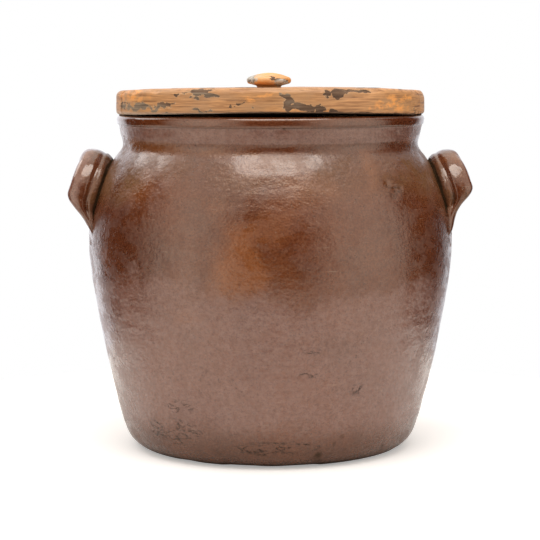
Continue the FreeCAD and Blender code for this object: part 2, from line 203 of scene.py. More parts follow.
CRACKS = [  # cracked patches, the same
    (-38, 0.030, 13, 0.013, 1.0), (-34, 0.054, 7, 0.006, 1.0), (2, 0.020, 17, 0.006, 1.0),
    (12, 0.086, 3.5, 0.004, 1.0), (13, 0.106, 3.0, 0.003, 1.0), (30, 0.070, 3.5, 0.005, 1.0),
    (43, 0.239, 4, 0.010, 0.5),
]


def turned_outline(node):
    """A turned node's outline as radius and height, read along rays from a point on its axis.

    It runs from the middle of the underside up the outside, over the rim and down the inside."""
    tree = tree_of(node)
    outer, inner = [], []
    for angle in np.linspace(-math.pi / 2, math.pi / 3, RAYS):
        direction = Vector((math.cos(angle), 0, math.sin(angle)))
        hits, start = [], EYE.copy()
        while True:
            hit = tree.ray_cast(start, direction)[0]
            if hit is None:
                break
            hits.append(hit)
            start = hit + direction * 0.01 * MM
        if len(hits) < 2:
            break
        outer.append((hits[-1].x, hits[-1].z))
        inner.append((hits[0].x, hits[0].z))
    return np.array(outer + inner[::-1]), len(outer)


def evened(path, spacing):
    """The path again, with points as far apart as the spacing given for each of its old points."""
    steps = np.hypot(*np.diff(path, axis=0).T)
    count = np.concatenate(([0], np.cumsum(steps * 2 / (spacing[1:] + spacing[:-1]))))
    even = np.linspace(0, count[-1], round(count[-1]) + 1)
    return np.column_stack([np.interp(even, count, path[:, k]) for k in (0, 1)])


def softened(path, rounds, keep=0):
    """The path with its small corners smoothed away; points above the height keep stay."""
    path = path.copy()
    free = (path[1:-1, 1] < keep)[:, None] if keep else 1.0
    for _ in range(rounds):
        for push in (0.5, -0.52):
            middle = (path[2:] + path[:-2]) / 2
            path[1:-1] += push * free * (middle - path[1:-1])
    return path


def turned_mesh(name, outline, columns):
    """A closed mesh turned round Z from an outline that starts and ends on the axis."""
    turns = np.arange(columns) * 2 * math.pi / columns
    rings = outline[1:-1]
    across = np.column_stack((np.cos(turns), np.sin(turns)))
    points = [
        np.column_stack((across * radius, np.full(columns, height))) for radius, height in rings
    ]
    ends = [(0, 0, outline[0, 1]), (0, 0, outline[-1, 1])]
    points = np.vstack(points + [ends])
    first, last = len(points) - 2, len(points) - 1
    faces = []
    for ring in range(len(rings) - 1):
        low, high = ring * columns, (ring + 1) * columns
        for k in range(columns):
            after = (k + 1) % columns
            faces.append((low + k, low + after, high + after, high + k))
    top = (len(rings) - 1) * columns
    for k in range(columns):
        after = (k + 1) % columns
        faces.append((first, after, k))
        faces.append((last, top + k, top + after))
    mesh = bpy.data.meshes.new(name)
    mesh.from_pydata(points.tolist(), [], faces)
    mesh.update()
    return mesh


def crock_outline():
    """The pot's outline, finely divided at the rim and coarsely where it isn't seen."""
    path, outer_count = turned_outline("crock_pot")
    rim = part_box("crock_pot")[1].z
    spacing = np.full(len(path), ROWS["inside"])
    spacing[:outer_count] = ROWS["outside"]
    spacing[path[:, 1] > rim - 16 * MM] = ROWS["rim"]
    underside = (path[:, 1] < 0.2 * MM) & (path[:, 0] < path[:outer_count, 0].max() * 0.7)
    spacing[underside] = ROWS["base"]
    path = evened(path, spacing)
    path = softened(path, 30, keep=rim - 18 * MM)
    path[0, 0] = path[-1, 0] = 0
    return path


def crock_pits(azimuth, height, outside):
    """How deep the pits and blisters of the glaze go at each point, and how dark they are."""
    rng = np.random.default_rng(11)
    depth, dark = np.zeros(len(height)), np.zeros(len(height))

    def sink(turn, up, wide, deep, darkness):
        half_sizes = (math.degrees(wide / WALL_RADIUS), wide)
        reach = patch(azimuth, height, (turn, up), half_sizes) * outside
        depth[:] += deep * reach ** 1.5
        dark[:] += darkness * reach ** 2

    for turn, up, wide, deep in PITS:
        sink(turn, up, wide * MM, deep * MM, 0.6)
    for _ in range(SMALL_PITS):
        turn, up = rng.uniform(-180, 180), rng.uniform(0.004, 0.296)
        wide = rng.uniform(2.0, 3.0) * MM
        deep = rng.uniform(0.08, 0.30) * MM
        sink(turn, up, wide, deep, rng.uniform(0.1, 0.7))
    return depth, dark


def thrown_wall(points, top):
    """How far each point of the wall stands out: a hand-thrown form, its rings and its orange peel."""
    height = points[:, 2]
    below_rim = ramp(height, top - 2 * MM, top - 14 * MM)
    above_foot = ramp(height, 0, 8 * MM)
    push = 0.55 * MM * noise(points, (0.16, 0.16, 0.11), 1)
    push += 0.24 * MM * noise(points, (0.050, 0.050, 0.034), 2)
    push += 0.10 * MM * noise(points, (0.26, 0.26, 0.0085), 3)
    push += 0.08 * MM * noise(points, (0.12, 0.12, 0.0048), 4)
    shoulder = ramp(height, 0.205, 0.235) * ramp(height, 0.275, 0.262)
    push += (0.11 + 0.14 * shoulder) * MM * noise(points, (0.017, 0.017, 0.011), 5)
    push += 0.05 * MM * noise(points, 0.007, 6)
    return push * (0.25 + 0.75 * below_rim) * (0.1 + 0.9 * above_foot)


def crock(finish):
    """The pot with its throwing marks, uneven wall, pits and the colour zones of its glaze."""
    mesh = turned_mesh("crock_pot_glazed", crock_outline(), COLUMNS)
    points, normals = points_of(mesh), normals_of(mesh)
    azimuth = around(points)
    height = points[:, 2]      # a view, which follows the points when they are moved
    radius = np.hypot(points[:, 0], points[:, 1])
    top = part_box("crock_pot")[1].z
    outward = (normals[:, :2] * points[:, :2]).sum(axis=1) / np.maximum(radius, 1 * MM)
    outside = ((outward > 0.05) | (height < 1 * MM)).astype(float)
    depth, dark = crock_pits(azimuth, height, outside)
    push = thrown_wall(points, top) - depth
    foot_chips = ramp(noise(points, (0.03, 0.03, 0.02), 8), 0.45, 0.8)
    push -= 0.7 * MM * foot_chips * ramp(height, 9 * MM, 3 * MM) * outside
    band = ramp(height, LEDGE - 0.7 * MM, LEDGE + 0.4 * MM) * outside
    flare = ramp(height, NECK + 4.5 * MM, LEDGE - 1.2 * MM) * (outside - band)
    push += 0.45 * MM * band - 0.60 * MM * flare
    points += normals * push[:, None]
    taper = 1.5 * MM * ramp(height, 30 * MM, 4 * MM) * outside
    points[:, :2] *= (1 - taper / np.maximum(radius, 10 * MM))[:, None]
    forward = ramp(-points[:, 1], 0.06, 0.12)
    height += 0.8 * MM * forward * ramp(height, top - 14 * MM, top)
    height -= height.min() * ramp(height, 10 * MM, 2 * MM)
    move_points(mesh, points)
    glaze_zones(mesh, points, azimuth, outside, dark)
    return new_piece("crock_glazed", mesh, "crock", ["crock_pot"], finish)


def glaze_zones(mesh, points, azimuth, outside, dark):
    """Where the glaze is scorched orange, dulled by a grey bloom, stained ochre or dirty, with a painted
    reflection of the table and painted shade.
    """
    height = points[:, 2]
    aside = azimuth + 7 * rough_noise(points, 0.05, 21)
    up = height + 8 * MM * rough_noise(points, 0.03, 25)
    band = ramp(height, LEDGE - 0.6 * MM, LEDGE + 0.4 * MM)
    flare = ramp(height, NECK + 3 * MM, NECK + 6 * MM) * ramp(height, LEDGE - 0.2 * MM, LEDGE - 1.2 * MM)
    neck = np.clip(1 - ((height - NECK) / (6.5 * MM)) ** 2, 0, 1)
    ledge = np.clip(1 - ((height - LEDGE) / (1.6 * MM)) ** 2, 0, 1)
    ember = 0.5 * ramp(rough_noise(points, (0.09, 0.09, 0.06), 31), 0.55, 1.2)
    for turn, at, wide, tall, strength in EMBERS:
        ember += strength * patch(aside, up, (turn, at), (wide, tall))
    bloom = 0.25 + 0.25 * rough_noise(points, (0.07, 0.07, 0.055), 41)
    # painted reflection: the bloom is raised on the down-facing flare and the lower body to stand for
    # the pale table mirrored there; the band and the neck crease get none
    bloom += 1.9 * flare - 0.7 * neck
    bloom -= (0.5 + 0.6 * ramp(azimuth, 35, -15)) * band
    bloom += 0.95 * ramp(up, 0.180, 0.135) * ramp(height, 0.0, 0.06)
    dust = sum(patch(azimuth, up, (side * 84, 0.246), (38, 0.034)) ** 0.5 for side in (-1, 1))
    dust *= 0.6 + 0.5 * rough_noise(points, (0.03, 0.03, 0.04), 47)
    dust += 0.35 * ramp(height, 0.225, 0.250) * ramp(height, 0.272, 0.262) * ramp(azimuth, -60, 60)
    rubbed = ramp(rough_noise(points, (0.020, 0.020, 0.013), 61), 0.05, 0.75)
    dust += 0.24 * rubbed * ramp(height, 0.232, 0.246) * ramp(height, 0.275, 0.268)
    dust += 0.35 * patch(azimuth, up, (-44, 0.258), (17, 0.017)) ** 0.5
    stain = ramp(rough_noise(points, (0.045, 0.045, 0.02), 51), 0.0, 0.9)
    stain += 1.6 * patch(azimuth, height, (-52, NECK), (22, 0.02))
    # painted shade: darker in the neck crease, under the ledge and towards the foot beside the shadowed
    # table; then random dirt and a drip line
    grime = 0.35 * neck * ramp(noise(points, 0.05, 55), -0.3, 0.6) + 0.5 * ledge
    grime += 0.7 * ramp(height, 5 * MM, 0.5 * MM) + 0.50 * ramp(height, 58 * MM, 8 * MM)
    grime += 0.20 * ramp(rough_noise(points, (0.02, 0.02, 0.05), 58), 0.75, 1.3)
    grime += 0.35 * patch(azimuth, height, (-17.3, 0.090), (1.1, 0.046))
    cracked = np.zeros(len(points))
    for turn, at, wide, tall, strength in CRACKS:
        cracked += strength * patch(azimuth, height, (turn, at), (wide, tall)) ** 0.5
    paint(
        mesh,
        ember=ember * outside,
        bloom=np.where(outside > 0, bloom, 0.3),
        ochre=neck * stain * outside,
        dust=dust * outside,
        cracked=cracked * outside,
        grime=(grime + 0.8 * dark) * outside,
        gloss=band * outside,
    )


# ---------------- the handles

LEAN = math.radians(17.5)      # how far the handles' axes point up from level
FOOT = (0.152, 0.240)          # where the handles' axes cross the wall, radius and height
SHIFT = {"left": 0.4 * MM, "right": -0.8 * MM}     # how much higher each one's shape sits
OUTWARD = Vector((math.cos(LEAN), 0, math.sin(LEAN)))
UPWARD = Vector((-math.sin(LEAN), 0, math.cos(LEAN)))
ARCH = 35 * MM                 # radius of the middle of the arched strap
DROP = 18 * MM                 # how far the arch's centre lies below the axis
LEG = 38 * MM                  # length of each leg below the arch's centre
STATIONS = 230                 # sections along the strap
AROUND = 84                    # points round each section
EMBED = 4 * MM                 # how deep the strap goes into the wall
REACH = 24                     # about how far the strap stands out, in millimetres
SECTION = [  # share of the way out and height over the strap's middle, in millimetres
    (-0.2, 3.2), (0.0, 3.6), (0.10, 5.8), (0.24, 7.6), (0.40, 8.3), (0.58, 8.4), (0.75, 7.5),
    (0.88, 6.0), (0.96, 3.6), (1.0, -0.4), (0.97, -3.4), (0.90, -5.3), (0.78, -6.4), (0.5, -6.8),
    (0.2, -6.6), (0.0, -6.4), (-0.2, -6.2),
]
GROOVE = 0.35                  # where the groove between the two ribs is, as share of the way out
RIB = 0.17                     # where the inner rib is
SMEAR = 10.5                   # half width of the feet where they are smeared out, in millimetres
ROUNDING = np.linspace(-4.5, 4.5, 9)     # millimetres over which the corners of TAILS are rounded
TAILS = {  # how far out the strap reaches at each height along its legs, in millimetres
    "left": [(-56, -26), (-52, -17), (-49, -11.5), (-46, -7.6), (-42, -2.6), (-35, 4.2),
             (-31.5, 8.8), (-27.5, 16.0), (-21.5, 24.0), (-20, 25.2)],
    "right": [(-56, -26), (-52, -16), (-49, -10.0), (-46, -6.0), (-41, -1.6), (-32, 3.6),
              (-26.5, 7.5), (-22.5, 12.5), (-18.5, 20.5), (-15.5, 26.0), (-13, 27.0),
              (-2, 26.6), (9, 25.6), (17, 24.0)],
}
LOOKS = {  # how much bloom, dust and ochre each handle's crest has, and its noise's first seed; the left crest's higher bloom is a painted reflection
    "left": {"bloom": 1.5, "dust": 0.0, "ochre": 0.15, "seed": 70},
    "right": {"bloom": 0.6, "dust": 0.8, "ochre": 0.75, "seed": 90},
}


def strap_line(count):
    """The middle of the arched strap: points (across, up), outward directions and leg share."""
    leg_share = LEG / (2 * LEG + math.pi * ARCH)
    middle, outward, leg = [], [], []
    for share in np.linspace(0, 1, count):
        side = -1 if share < 0.5 else 1
        along = min(share, 1 - share) / leg_share
        if along < 1:
            middle.append((side * ARCH, -DROP - LEG * (1 - along)))
            outward.append((side, 0))
            leg.append(1.0)
        else:
            turn = math.pi * (share - leg_share) / (1 - 2 * leg_share)
            outward.append((-math.cos(turn), math.sin(turn)))
            middle.append((-ARCH * math.cos(turn), -DROP + ARCH * math.sin(turn)))
            leg.append(1 - math.sin(turn))
    return np.array(middle), np.array(outward), np.array(leg)


def strap_section(count):
    """The strap's section, with its points spread evenly and its corners smoothed away."""
    corners = np.array(SECTION)
    scaled = corners * (REACH, 1)
    run = np.concatenate(([0], np.cumsum(np.hypot(*np.diff(scaled, axis=0).T))))
    even = np.linspace(0, run[-1], count)
    path = np.column_stack([np.interp(even, run, corners[:, k]) for k in (0, 1)])
    return softened(path, 3)


def strap_points(side):
    """The points of a strap on the pot's +X side, station by station.

    With them go each point's share of the way out from the wall, how far down the arch it is and how
    free of the wall the strap is there, all from 0 to 1."""
    wall = tree_of("crock_pot")
    middle, outward, leg = strap_line(STATIONS)
    section = strap_section(AROUND)
    tail_at, tail_reach = np.array(TAILS[side]).T
    points, share_out, leg_at, free_at = [], [], [], []
    for (across, up), (out_across, out_up), leg_share in zip(middle, outward, leg):
        reach = np.interp(up / MM + ROUNDING, tail_at, tail_reach).mean() * MM
        free = float(np.interp(reach / MM, (3, 17), (0, 1)))
        spread = SMEAR * float(np.interp(up / MM, (-54, -49, -42), (0.3, 0.7, 1)))
        for share, rise in section:
            if rise > 0:
                groove = math.exp(-((share - GROOVE) / 0.075) ** 2)
                rib = math.exp(-((share - RIB) / 0.10) ** 2)
                rise += -(0.5 + 2.0 * leg_share) * groove * free + 0.5 * leg_share * rib
            bump = math.copysign(spread * math.sqrt(1 - min(abs(share), 1) ** 2), rise)
            lift = (rise * free + bump * (1 - free)) * MM
            foot = Vector((FOOT[0], across + out_across * lift, FOOT[1] + SHIFT[side]))
            foot += UPWARD * (up + out_up * lift)
            hit = wall.ray_cast(foot + OUTWARD * 80 * MM, -OUTWARD)[0]
            root = (hit - foot).dot(OUTWARD) if hit else -20 * MM
            out = root - EMBED if share < 0 else root + share * max(reach - root, -EMBED)
            points.append(foot + OUTWARD * out)
            share_out.append(share)
            leg_at.append(leg_share * free)
            free_at.append(free)
    return tuple(np.array(found) for found in (points, share_out, leg_at, free_at))


def strap_mesh(name, points):
    """A closed mesh through the points of a strap."""
    faces = []
    for near, far in itertools.pairwise(range(0, len(points), AROUND)):
        for m in range(AROUND):
            after = (m + 1) % AROUND
            faces.append((near + m, near + after, far + after, far + m))
    faces.append(tuple(range(AROUND))[::-1])
    faces.append(tuple(range(len(points) - AROUND, len(points))))
    mesh = bpy.data.meshes.new(name)
    mesh.from_pydata(points.tolist(), [], faces)
    mesh.validate()
    mesh.update()
    form = bmesh.new()
    form.from_mesh(mesh)
    bmesh.ops.recalc_face_normals(form, faces=form.faces)
    form.to_mesh(mesh)
    form.free()
    return mesh


def handle(side, finish):
    """One lug handle: a ribbed strap bent into an arch and smeared into the wall at its feet."""
    name = "handle_" + side
    looks = LOOKS[side]
    seed = looks["seed"]
    points, share_out, leg_at, free_at = strap_points(side)
    points[:, :2] *= -1 if side == "left" else 1
    mesh = strap_mesh(name + "_clay", points)
    points, normals = points_of(mesh), normals_of(mesh)
    shown = ramp(share_out, -0.05, 0.1)
    push = 0.55 * MM * noise(points, 0.022, seed) + 0.3 * MM * noise(points, 0.010, seed + 1)
    push += 0.12 * MM * noise(points, 0.004, seed + 2)
    push += 0.8 * MM * ramp(share_out, 0.25, 0.02) * noise(points, 0.009, seed + 3)
    points += normals * (push * shown)[:, None]
    move_points(mesh, points)
    wander = noise(points, 0.012, seed + 5)
    crevice = ramp(share_out + 0.05 * wander, 0.15, 0.03) * free_at
    groove = np.exp(-((share_out - GROOVE) / 0.09) ** 2) * leg_at
    crest = ramp(share_out, 0.5, 0.85)
    inner = ramp(share_out, GROOVE, GROOVE - 0.1)
    inner_dust = inner * (0.55 + 0.4 * wander) * free_at
    crest_dust = looks["dust"] * crest * ramp(wander, -0.2, 0.6)
    ochre = ramp(noise(points, 0.014, seed + 7), 0.05, 0.7) * crest
    paint(
        mesh,
        # painted shade in the crevice where the strap meets the wall and in the groove between the ribs,
        # with a little random dirt
        grime=1.2 * crevice + 0.45 * groove + 0.3 * ramp(wander, 0.4, 0.9),
        # the bloom lightens the crest; on the left handle it is raised as a painted reflection of the
        # light from the upper left
        bloom=looks["bloom"] * crest + 0.25 * wander,
        gloss=ramp(share_out, 0.15, 0.3),
        dust=np.maximum(inner_dust, crest_dust),
        ochre=looks["ochre"] * ochre,
        ember=0.3 * ramp(noise(points, 0.02, seed + 8), 0.2, 0.9),
    )
    return new_piece(name + "_glazed", mesh, "crock", [name], finish)


# ---------------- the lid

PEELS = [  # azimuth, share of the edge's height, half width in degrees, half height, strength
    (6.6, 0.60, 3.2, 0.36, 1.0), (8.0, 0.36, 3.0, 0.17, 1.0), (11.8, 0.42, 4.0, 0.20, 1.0),
    (16.0, 0.32, 2.8, 0.18, 1.0), (22.0, 0.17, 3.0, 0.13, 0.9), (25.2, 0.80, 2.4, 0.27, 1.0),
    (32.0, 0.99, 9.0, 0.13, 0.9), (19.8, 0.87, 3.0, 0.19, 0.74), (-27.0, 0.88, 9.5, 0.17, 0.80),
    (-14.2, 0.48, 1.8, 0.10, 0.9), (-10.0, 0.47, 1.8, 0.05, 0.8), (-5.0, 0.36, 1.3, 0.07, 0.8),
    (-54.0, 0.39, 20.0, 0.22, 0.78), (-60.0, 0.30, 12.0, 0.15, 0.8), (-41.0, 0.50, 8.0, 0.08, 0.8),
    (-23.0, 0.21, 8.0, 0.12, 0.76),
    (66.0, 0.20, 5.0, 0.10, 0.7), (0.0, 0.10, 6.0, 0.07, 0.8), (-40.0, 0.12, 6.0, 0.06, 0.6),
]
GREYS = [  # azimuth, share of the edge's height, half width in degrees, half height
    (-25.5, 0.78, 9, 0.2), (-23, 0.21, 9, 0.18), (-55, 0.3, 20, 0.3), (5.5, 0.95, 4, 0.12),
]
ORANGES = [  # the same
    (50, 0.46, 13, 0.34), (59, 0.76, 5, 0.2), (12, 0.14, 8, 0.13), (-60, 0.80, 14, 0.24),
    (-4, 0.72, 5, 0.2), (42, 0.3, 5, 0.2),
]
DIPS = [  # azimuth, half width in degrees, depth in millimetres: chips in the edge's upper corner
    (28, 3.2, 1.3), (33, 3.6, 1.9), (37.5, 2.6, 1.2), (8, 5.0, 0.7), (-20, 5.5, 0.6), (-55, 4, 0.7),
]
BOARD_JOINT = 46 * MM          # how far the boards' joints are from the lid's middle


def lid_shape():
    """The lid's middle along X, its radius, and the heights of its underside and top."""
    left, right = (corner.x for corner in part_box("lid_board_middle"))
    bottom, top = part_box("lid_board_front")[0].z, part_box("lid_board_back")[1].z
    return (left + right) / 2, (right - left) / 2, bottom, top


def worn_board(points, normals, azimuth, share_up, edge, seed):
    """How far each point of a board stands out: its raised grain, rubbed corners and chips."""
    push = 0.14 * MM * noise(points, (0.09, 0.0032, 0.0022), seed)
    push += 0.07 * MM * noise(points, (0.03, 0.0019, 0.0016), seed + 1)
    push += 0.35 * MM * noise(points, (0.05, 0.03, 0.03), seed + 2)
    level = np.abs(normals[:, 2])
    corner = ramp(level, 0.12, 0.5) * ramp(level, 0.98, 0.8)
    wear = ramp(rough_noise(points, (0.016, 0.012, 0.010), seed + 3), 0.1, 0.9)
    push -= 0.9 * MM * corner * wear
    for turn, wide, deep in DIPS:
        aside = np.clip(1 - ((azimuth - turn) / wide) ** 2, 0, 1)
        push -= deep * MM * aside * edge * ramp(share_up, 0.55, 0.85)
    return push


def bend_board(points, radius, share_up):
    """Moves a board's points to the cupped lid's form, with its two ends worn round."""
    middle_x, lid_radius, _, top = lid_shape()
    points[:, 0] += 1.4 * MM * ramp(-points[:, 0], 0.10, 0.139)
    end = ramp(np.abs(points[:, 0] - middle_x), 0.105, 0.137)
    points[:, 2] -= 0.8 * MM * end * ramp(share_up, 0.3, 1.0)
    front = np.clip(1 - (points[:, 0] / 0.12) ** 2, 0, 1) * ramp(radius, 0.112, 0.122)
    points[:, 2] += 1.4 * MM * front * ramp(share_up, 0.45, 0.0)
    top = top - 0.8 * MM * end
    wide, tall = 1 * MM + 5.5 * MM * end, 1 * MM + 8.5 * MM * end
    reach = np.hypot(points[:, 0] - middle_x, points[:, 1])
    past_side = (reach - lid_radius + wide) / wide
    past_top = (points[:, 2] - top + tall) / tall
    over = np.hypot(past_side, past_top)
    rounded = (past_side > 0) & (past_top > 0) & (over > 1)
    shrink = np.where(rounded, 1 / np.maximum(over, 1), 1)
    new_reach = np.where(rounded, lid_radius - wide + past_side * shrink * wide, reach)
    points[:, 2] = np.where(rounded, top - tall + past_top * shrink * tall, points[:, 2])
    factor = new_reach / np.maximum(reach, 1 * MM)
    points[:, 0] = middle_x + (points[:, 0] - middle_x) * factor
    points[:, 1] *= factor


def lid_board(name, seed, finish):
    """A board of the lid: grain along X, worn edges and the zones where its paint has gone."""
    mesh = even_mesh(name, 1.15 * MM)
    points, normals = points_of(mesh), normals_of(mesh)
    middle_x, lid_radius, bottom, top = lid_shape()
    azimuth = around(points - (middle_x, 0, 0))
    radius = np.hypot(points[:, 0] - middle_x, points[:, 1])
    edge = ramp(radius, lid_radius - 6 * MM, lid_radius - 2 * MM)
    share_up = (points[:, 2] - bottom) / (top - bottom)
    push = worn_board(points, normals, azimuth, share_up, edge, seed)
    aside = azimuth + 2.6 * rough_noise(points, 0.009, seed + 11)
    raised = share_up + 0.10 * rough_noise(points, 0.007, seed + 13)
    peel = 0.62 * ramp(rough_noise(points, (0.030, 0.016, 0.012), seed + 4), 0.05, 0.75)
    peel *= 1 - 0.75 * edge * (np.abs(azimuth) < 95)
    for turn, up, wide, tall, strength in PEELS:
        placed = strength * edge * patch(aside, raised, (turn, up), (wide, tall)) ** 0.4
        peel = np.maximum(peel, placed)
    orange = 0.7 * ramp(rough_noise(points, (0.05, 0.03, 0.02), seed + 7), 0.2, 0.9) * (1 - edge)
    for turn, up, wide, tall in ORANGES:
        orange = np.maximum(orange, edge * patch(aside, raised, (turn, up), (wide, tall)) ** 0.5)
    grey = sum(edge * patch(azimuth, share_up, at[:2], at[2:]) for at in GREYS)
    points += normals * push[:, None]
    bend_board(points, radius, share_up)
    move_points(mesh, points)
    joint = ramp(np.abs(np.abs(points[:, 1]) - BOARD_JOINT), 3 * MM, 0.5 * MM)
    grime = 0.6 * joint + 0.5 * ramp(noise(points, (0.02, 0.006, 0.005), seed + 9), 0.35, 0.9)
    grime += 0.45 * edge * ramp(share_up, 0.16, 0.06) * ramp(azimuth, 15, 35)
    paint(
        mesh,
        peel=np.maximum(peel, ramp(normals[:, 2], -0.5, -0.9)),
        orange=orange,
        rim=ramp(np.abs(normals[:, 2]), 0.75, 0.4),
        grey=grey * 2,
        grime=grime,
        pale=edge * ramp(share_up, 0.2, 0.06) * ramp(points[:, 0], 0.10, -0.10),
    )
    return new_piece(name + "_painted", mesh, "lid", [name], finish)


def knob(finish):
    """The turned knob, its paint worn to grey wood at the left of its head, with painted shade on the
    stem under the head.
    """
    mesh = even_mesh("knob", 0.55 * MM)
    points, normals = points_of(mesh), normals_of(mesh)
    low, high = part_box("knob")
    push = 0.25 * MM * noise(points, (0.010, 0.010, 0.006), 131)
    push += 0.14 * MM * noise(points, (0.020, 0.0022, 0.002), 132)
    head = ramp(points[:, 2], high.z - 11 * MM, high.z - 9 * MM)
    chips = ramp(rough_noise(points, 0.006, 133), 0.35, 1.0)
    push -= 0.5 * MM * chips * head
    points += normals * push[:, None]
    move_points(mesh, points)
    left = spot(points, (low.x, low.y + 6 * MM, high.z - 5 * MM), (0.015, 0.03, 0.010))
    right = spot(points, (high.x - 9 * MM, low.y + 4 * MM, high.z - 9 * MM), (0.011, 0.03, 0.005))
    peel = np.maximum(0.55 * ramp(rough_noise(points, 0.009, 135), 0.1, 0.9), (left + right) ** 0.5)
    # painted shade: the stem under the head is darkened all over
    stem_grime = 1 - head
    paint(
        mesh,
        peel=peel,
        orange=0.7 + 0.3 * noise(points, 0.008, 137),
        rim=np.zeros(len(points)),
        grey=ramp(left + right, 0.0, 0.3),
        pale=0.25 * right,
        grime=stem_grime + 0.4 * ramp(noise(points, 0.005, 138), 0.2, 0.9),
    )
    return new_piece("knob_painted", mesh, "lid", ["knob"], finish)


def batten(name, seed, finish):
    """A bare wooden batten under the lid, with sawn faces and softened corners."""
    mesh = even_mesh(name, 1.3 * MM)
    points, normals = points_of(mesh), normals_of(mesh)
    push = 0.16 * MM * noise(points, (0.0028, 0.07, 0.0024), seed)
    push += 0.22 * MM * noise(points, 0.03, seed + 1)
    corner = ramp(np.abs(normals).max(axis=1), 0.99, 0.8)
    push -= 0.5 * MM * corner * ramp(noise(points, 0.012, seed + 2), -0.4, 0.8)
    points += normals * push[:, None]
    move_points(mesh, points)
    stain = 0.5 + 0.5 * noise(points, (0.04, 0.06, 0.03), seed + 3)
    paint(mesh, grime=0.6 * stain)
    return new_piece(name + "_sawn", mesh, "lid", [name], finish)


def weight(name, seed, finish):
    """Half of the round stoneware weight that holds the ferment under its brine."""
    mesh = even_mesh(name, 1.5 * MM)
    points, normals = points_of(mesh), normals_of(mesh)
    push = 0.35 * MM * noise(points, 0.030, seed) + 0.18 * MM * noise(points, 0.009, seed + 1)
    pores = ramp(noise(points, 0.0045, seed + 2), 0.55, 0.9)
    push -= 0.35 * MM * pores
    points += normals * push[:, None]
    move_points(mesh, points)
    paint(mesh, grime=0.7 * pores + 0.3 * ramp(rough_noise(points, 0.03, seed + 4), 0.1, 1.0))
    return new_piece(name + "_fired", mesh, name, [name], finish)


# ---------------- finishes

def tone(red, green, blue):
    """A colour given as it looks on a screen, from 0 to 255, as the linear colour that nodes use."""
    parts = [c / 255 for c in (red, green, blue)]
    return tuple(c / 12.92 if c < 0.04045 else ((c + 0.055) / 1.055) ** 2.4 for c in parts) + (1,)


class Nodes:
    """A node tree, with a short call for each kind of node that the finishes and the studio use."""

    def __init__(self, tree):
        self.tree = tree
        self.tree.nodes.clear()

    def node(self, kind, settings=None, inputs=None):
        """A new node with its settings, and its inputs as numbers or as other nodes' outputs."""
        made = self.tree.nodes.new("ShaderNode" + kind)
        for name, value in (settings or {}).items():
            setattr(made, name, value)
        for key, value in (inputs or {}).items():
            self.feed(made.inputs[key], value)
        return made

    def feed(self, socket, value):
        """Links an output to the socket, or sets the socket's own value."""
        if isinstance(value, bpy.types.NodeSocket):
            self.tree.links.new(value, socket)
        else:
            socket.default_value = value

    def math(self, operation, *values):
        """The result of a sum on one or two numbers."""
        made = self.node("Math", {"operation": operation}, dict(enumerate(values)))
        return made.outputs[0]

    def ramp(self, value, low, high, bottom=0.0, top=1.0):
        """A number that goes smoothly from bottom to top as the value goes from low to high."""
        inputs = {"Value": value, "From Min": low, "From Max": high, "To Min": bottom, "To Max": top}
        settings = {"interpolation_type": "SMOOTHSTEP"}
        return self.node("MapRange", settings, inputs).outputs[0]

    def mix(self, share, first, second, most=1.0):
        """The first colour where share is 0, and the second, at strength most, where it is 1."""
        if most != 1.0:
            share = self.math("MULTIPLY", share, most)
        settings = {"data_type": "RGBA", "clamp_factor": True}
        return self.node("Mix", settings, {0: share, 6: first, 7: second}).outputs[2]

    def either(self, share, first, second):
        """A number that goes from the first to the second as share goes from 0 to 1."""
        return self.node("Mix", {"data_type": "FLOAT"}, {0: share, 2: first, 3: second}).outputs[0]


class Finish(Nodes):
    """A procedural material."""

    def __init__(self, name):
        self.material = bpy.data.materials.new(name)
        self.material.use_nodes = True
        super().__init__(self.material.node_tree)
        self.place = self.node("TexCoord").outputs["Object"]

    def stretched(self, size, stretch=(1, 1, 1), offset=0.0):
        """The place on the object, counted in bumps of this size and stretch."""
        scale = tuple(1 / (size * part) for part in stretch)
        inputs = {"Vector": self.place, "Location": (offset, offset * 1.7, offset * 2.3), "Scale": scale}
        return self.node("Mapping", None, inputs).outputs[0]

    def noise(self, size, stretch=(1, 1, 1), detail=4.0, rough=0.55, offset=0.0, twist=0.0):
        """Noise from 0 to 1, mostly near a half, its bumps about size across."""
        inputs = {"Vector": self.stretched(size, stretch, offset), "Scale": 1.0,
                  "Detail": detail, "Roughness": rough, "Distortion": twist}
        return self.node("TexNoise", None, inputs).outputs[0]

    def cells(self, size, offset=0.0):
        """The distance to the nearest of points scattered about size apart."""
        inputs = {"Vector": self.stretched(size, offset=offset), "Scale": 1.0}
        return self.node("TexVoronoi", None, inputs).outputs["Distance"]

    def painted(self, name):
        """The value from 0 to 1 that paint has kept on the mesh."""
        return self.node("Attribute", {"attribute_name": name}).outputs["Fac"]

    def bump(self, height, distance, under=None):
        """The surface's direction with bumps this high, over the bumps that are under them."""
        inputs = {"Height": height, "Distance": distance, "Strength": 1.0}
        if under:
            inputs["Normal"] = under
        return self.node("Bump", None, inputs).outputs[0]

    def surface(self, colour, roughness, normal, **extra):
        """The finished material; extra inputs are named with _ for a space."""
        inputs = {"Base Color": colour, "Roughness": roughness, "Normal": normal}
        inputs.update({name.replace("_", " "): value for name, value in extra.items()})
        shader = self.node("BsdfPrincipled", None, inputs).outputs[0]
        output = self.node("OutputMaterial")
        self.feed(output.inputs["Surface"], shader)
        return self.material


GLAZE_DEEP = tone(84, 34, 11)
GLAZE_WARM = tone(106, 50, 20)
GLAZE_EMBER = tone(136, 76, 36)
# the grey bloom's colour, also used as a painted reflection of the pale table
GLAZE_BLOOM_AND_REFLECTION = tone(130, 98, 88)


